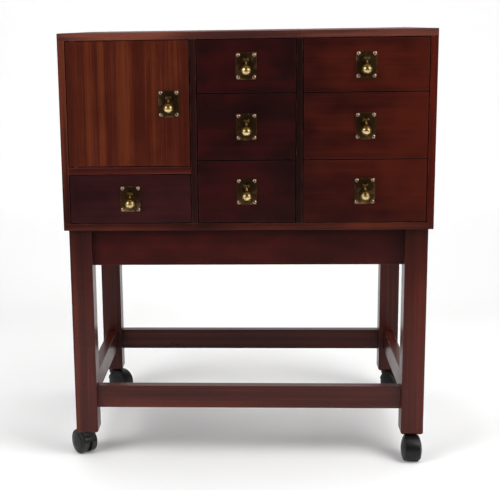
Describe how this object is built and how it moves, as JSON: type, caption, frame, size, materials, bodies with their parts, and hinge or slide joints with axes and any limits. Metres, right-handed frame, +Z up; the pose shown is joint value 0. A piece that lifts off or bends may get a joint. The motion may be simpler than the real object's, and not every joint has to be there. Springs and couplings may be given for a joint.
{
  "type": "cabinet on stand",
  "caption": "Low mahogany case with an inset door and flush drawers with brass drop pulls, on an open stretchered stand with swivelling twin-wheel casters.",
  "frame": {"origin": "on the floor under the middle of the overall box", "axes": "+X to the right as seen from the front, +Y from the front to the back, +Z up"},
  "size_m": [0.7858, 0.5332, 0.911],
  "materials": {
    "case_mahogany": "semi-gloss lacquer",
    "front_mahogany": "semi-gloss lacquer",
    "ribbon_mahogany": "semi-gloss lacquer",
    "stand_mahogany": "semi-gloss lacquer",
    "drawer_wood": "waxed",
    "back_plywood": "unfinished plywood",
    "pull_brass": "aged, polished on the drops",
    "caster_plastic": "moulded",
    "fitting_steel": "zinc plated"
  },
  "bodies": {
    "root": {"case_top": "case_mahogany", "case_bottom": "case_mahogany", "case_left_side": "case_mahogany", "case_right_side": "case_mahogany", "left_divider": "case_mahogany", "right_divider": "case_mahogany", "compartment_shelf": "case_mahogany", "case_back": "back_plywood", "drawer_runners": "drawer_wood", "door_pivot_pins": "pull_brass", "door_catch": "pull_brass", "front_left_leg": "stand_mahogany", "front_right_leg": "stand_mahogany", "rear_left_leg": "stand_mahogany", "rear_right_leg": "stand_mahogany", "long_aprons": "stand_mahogany", "side_aprons": "stand_mahogany", "long_stretchers": "stand_mahogany", "side_stretchers": "stand_mahogany", "stand_screws": "fitting_steel", "caster_sockets": "fitting_steel"},
    "door": {"door_panel": "ribbon_mahogany", "door_pull_plate": "pull_brass"},
    "door_drop": {"door_pull_drop": "pull_brass"},
    "middle_bottom_drawer": {"middle_bottom_drawer_front": "front_mahogany", "middle_bottom_drawer_box": "drawer_wood", "middle_bottom_drawer_pull_plate": "pull_brass"},
    "middle_bottom_drawer_drop": {"middle_bottom_drawer_pull_drop": "pull_brass"},
    "middle_centre_drawer": {"middle_centre_drawer_front": "front_mahogany", "middle_centre_drawer_box": "drawer_wood", "middle_centre_drawer_pull_plate": "pull_brass"},
    "middle_centre_drawer_drop": {"middle_centre_drawer_pull_drop": "pull_brass"},
    "middle_top_drawer": {"middle_top_drawer_front": "front_mahogany", "middle_top_drawer_box": "drawer_wood", "middle_top_drawer_pull_plate": "pull_brass"},
    "middle_top_drawer_drop": {"middle_top_drawer_pull_drop": "pull_brass"},
    "right_bottom_drawer": {"right_bottom_drawer_front": "front_mahogany", "right_bottom_drawer_box": "drawer_wood", "right_bottom_drawer_pull_plate": "pull_brass"},
    "right_bottom_drawer_drop": {"right_bottom_drawer_pull_drop": "pull_brass"},
    "right_centre_drawer": {"right_centre_drawer_front": "front_mahogany", "right_centre_drawer_box": "drawer_wood", "right_centre_drawer_pull_plate": "pull_brass"},
    "right_centre_drawer_drop": {"right_centre_drawer_pull_drop": "pull_brass"},
    "right_top_drawer": {"right_top_drawer_front": "front_mahogany", "right_top_drawer_box": "drawer_wood", "right_top_drawer_pull_plate": "pull_brass"},
    "right_top_drawer_drop": {"right_top_drawer_pull_drop": "pull_brass"},
    "left_drawer": {"left_drawer_front": "front_mahogany", "left_drawer_box": "drawer_wood", "left_drawer_pull_plate": "pull_brass"},
    "left_drawer_drop": {"left_drawer_pull_drop": "pull_brass"},
    "front_left_caster": {"front_left_caster_hood": "caster_plastic"},
    "front_left_wheels": {"front_left_caster_wheels": "caster_plastic"},
    "front_right_caster": {"front_right_caster_hood": "caster_plastic"},
    "front_right_wheels": {"front_right_caster_wheels": "caster_plastic"},
    "rear_left_caster": {"rear_left_caster_hood": "caster_plastic"},
    "rear_left_wheels": {"rear_left_caster_wheels": "caster_plastic"},
    "rear_right_caster": {"rear_right_caster_hood": "caster_plastic"},
    "rear_right_wheels": {"rear_right_caster_wheels": "caster_plastic"}
  },
  "joints": [
    {"name": "door_hinge", "type": "hinge", "parent": "root", "child": "door", "pos_m": [-0.3515, -0.23735, 0.7675], "axis": [0, 0, -1], "range_deg": [0, 105]},
    {"name": "door_drop_swing", "type": "hinge", "parent": "door", "child": "door_drop", "pos_m": [-0.1575, -0.25085, 0.7795], "axis": [-1, 0, 0], "range_deg": [0, 95]},
    {"name": "middle_bottom_drawer_slide", "type": "slide", "parent": "root", "child": "middle_bottom_drawer", "axis": [0, -1, 0], "range_m": [0, 0.34]},
    {"name": "middle_bottom_drawer_drop_swing", "type": "hinge", "parent": "middle_bottom_drawer", "child": "middle_bottom_drawer_drop", "pos_m": [0, -0.25085, 0.5985], "axis": [-1, 0, 0], "range_deg": [0, 95]},
    {"name": "middle_centre_drawer_slide", "type": "slide", "parent": "root", "child": "middle_centre_drawer", "axis": [0, -1, 0], "range_m": [0, 0.34]},
    {"name": "middle_centre_drawer_drop_swing", "type": "hinge", "parent": "middle_centre_drawer", "child": "middle_centre_drawer_drop", "pos_m": [0, -0.25085, 0.73125], "axis": [-1, 0, 0], "range_deg": [0, 95]},
    {"name": "middle_top_drawer_slide", "type": "slide", "parent": "root", "child": "middle_top_drawer", "axis": [0, -1, 0], "range_m": [0, 0.34]},
    {"name": "middle_top_drawer_drop_swing", "type": "hinge", "parent": "middle_top_drawer", "child": "middle_top_drawer_drop", "pos_m": [0, -0.25085, 0.85325], "axis": [-1, 0, 0], "range_deg": [0, 95]},
    {"name": "right_bottom_drawer_slide", "type": "slide", "parent": "root", "child": "right_bottom_drawer", "axis": [0, -1, 0], "range_m": [0, 0.34]},
    {"name": "right_bottom_drawer_drop_swing", "type": "hinge", "parent": "right_bottom_drawer", "child": "right_bottom_drawer_drop", "pos_m": [0.2405, -0.25085, 0.5985], "axis": [-1, 0, 0], "range_deg": [0, 95]},
    {"name": "right_centre_drawer_slide", "type": "slide", "parent": "root", "child": "right_centre_drawer", "axis": [0, -1, 0], "range_m": [0, 0.34]},
    {"name": "right_centre_drawer_drop_swing", "type": "hinge", "parent": "right_centre_drawer", "child": "right_centre_drawer_drop", "pos_m": [0.2405, -0.25085, 0.73125], "axis": [-1, 0, 0], "range_deg": [0, 95]},
    {"name": "right_top_drawer_slide", "type": "slide", "parent": "root", "child": "right_top_drawer", "axis": [0, -1, 0], "range_m": [0, 0.34]},
    {"name": "right_top_drawer_drop_swing", "type": "hinge", "parent": "right_top_drawer", "child": "right_top_drawer_drop", "pos_m": [0.2405, -0.25085, 0.85325], "axis": [-1, 0, 0], "range_deg": [0, 95]},
    {"name": "left_drawer_slide", "type": "slide", "parent": "root", "child": "left_drawer", "axis": [0, -1, 0], "range_m": [0, 0.34]},
    {"name": "left_drawer_drop_swing", "type": "hinge", "parent": "left_drawer", "child": "left_drawer_drop", "pos_m": [-0.2405, -0.25085, 0.5845], "axis": [-1, 0, 0], "range_deg": [0, 95]},
    {"name": "front_left_swivel", "type": "hinge", "parent": "root", "child": "front_left_caster", "pos_m": [-0.3495, -0.21085, 0.0552], "axis": [0, 0, 1], "continuous": true},
    {"name": "front_left_roll", "type": "hinge", "parent": "front_left_caster", "child": "front_left_wheels", "pos_m": [-0.36221, -0.19673, 0.025], "axis": [-0.7431, -0.6691, 0], "continuous": true},
    {"name": "front_right_swivel", "type": "hinge", "parent": "root", "child": "front_right_caster", "pos_m": [0.3495, -0.21085, 0.0552], "axis": [0, 0, 1], "continuous": true},
    {"name": "front_right_roll", "type": "hinge", "parent": "front_right_caster", "child": "front_right_wheels", "pos_m": [0.3495, -0.22985, 0.025], "axis": [1, 0, 0], "continuous": true},
    {"name": "rear_left_swivel", "type": "hinge", "parent": "root", "child": "rear_left_caster", "pos_m": [-0.3495, 0.23415, 0.0552], "axis": [0, 0, 1], "continuous": true},
    {"name": "rear_left_roll", "type": "hinge", "parent": "rear_left_caster", "child": "rear_left_wheels", "pos_m": [-0.33357, 0.2238, 0.025], "axis": [0.5446, 0.8387, 0], "continuous": true},
    {"name": "rear_right_swivel", "type": "hinge", "parent": "root", "child": "rear_right_caster", "pos_m": [0.3495, 0.23415, 0.0552], "axis": [0, 0, 1], "continuous": true},
    {"name": "rear_right_roll", "type": "hinge", "parent": "rear_right_caster", "child": "rear_right_wheels", "pos_m": [0.36221, 0.22003, 0.025], "axis": [0.7431, 0.6691, 0], "continuous": true}
  ]
}
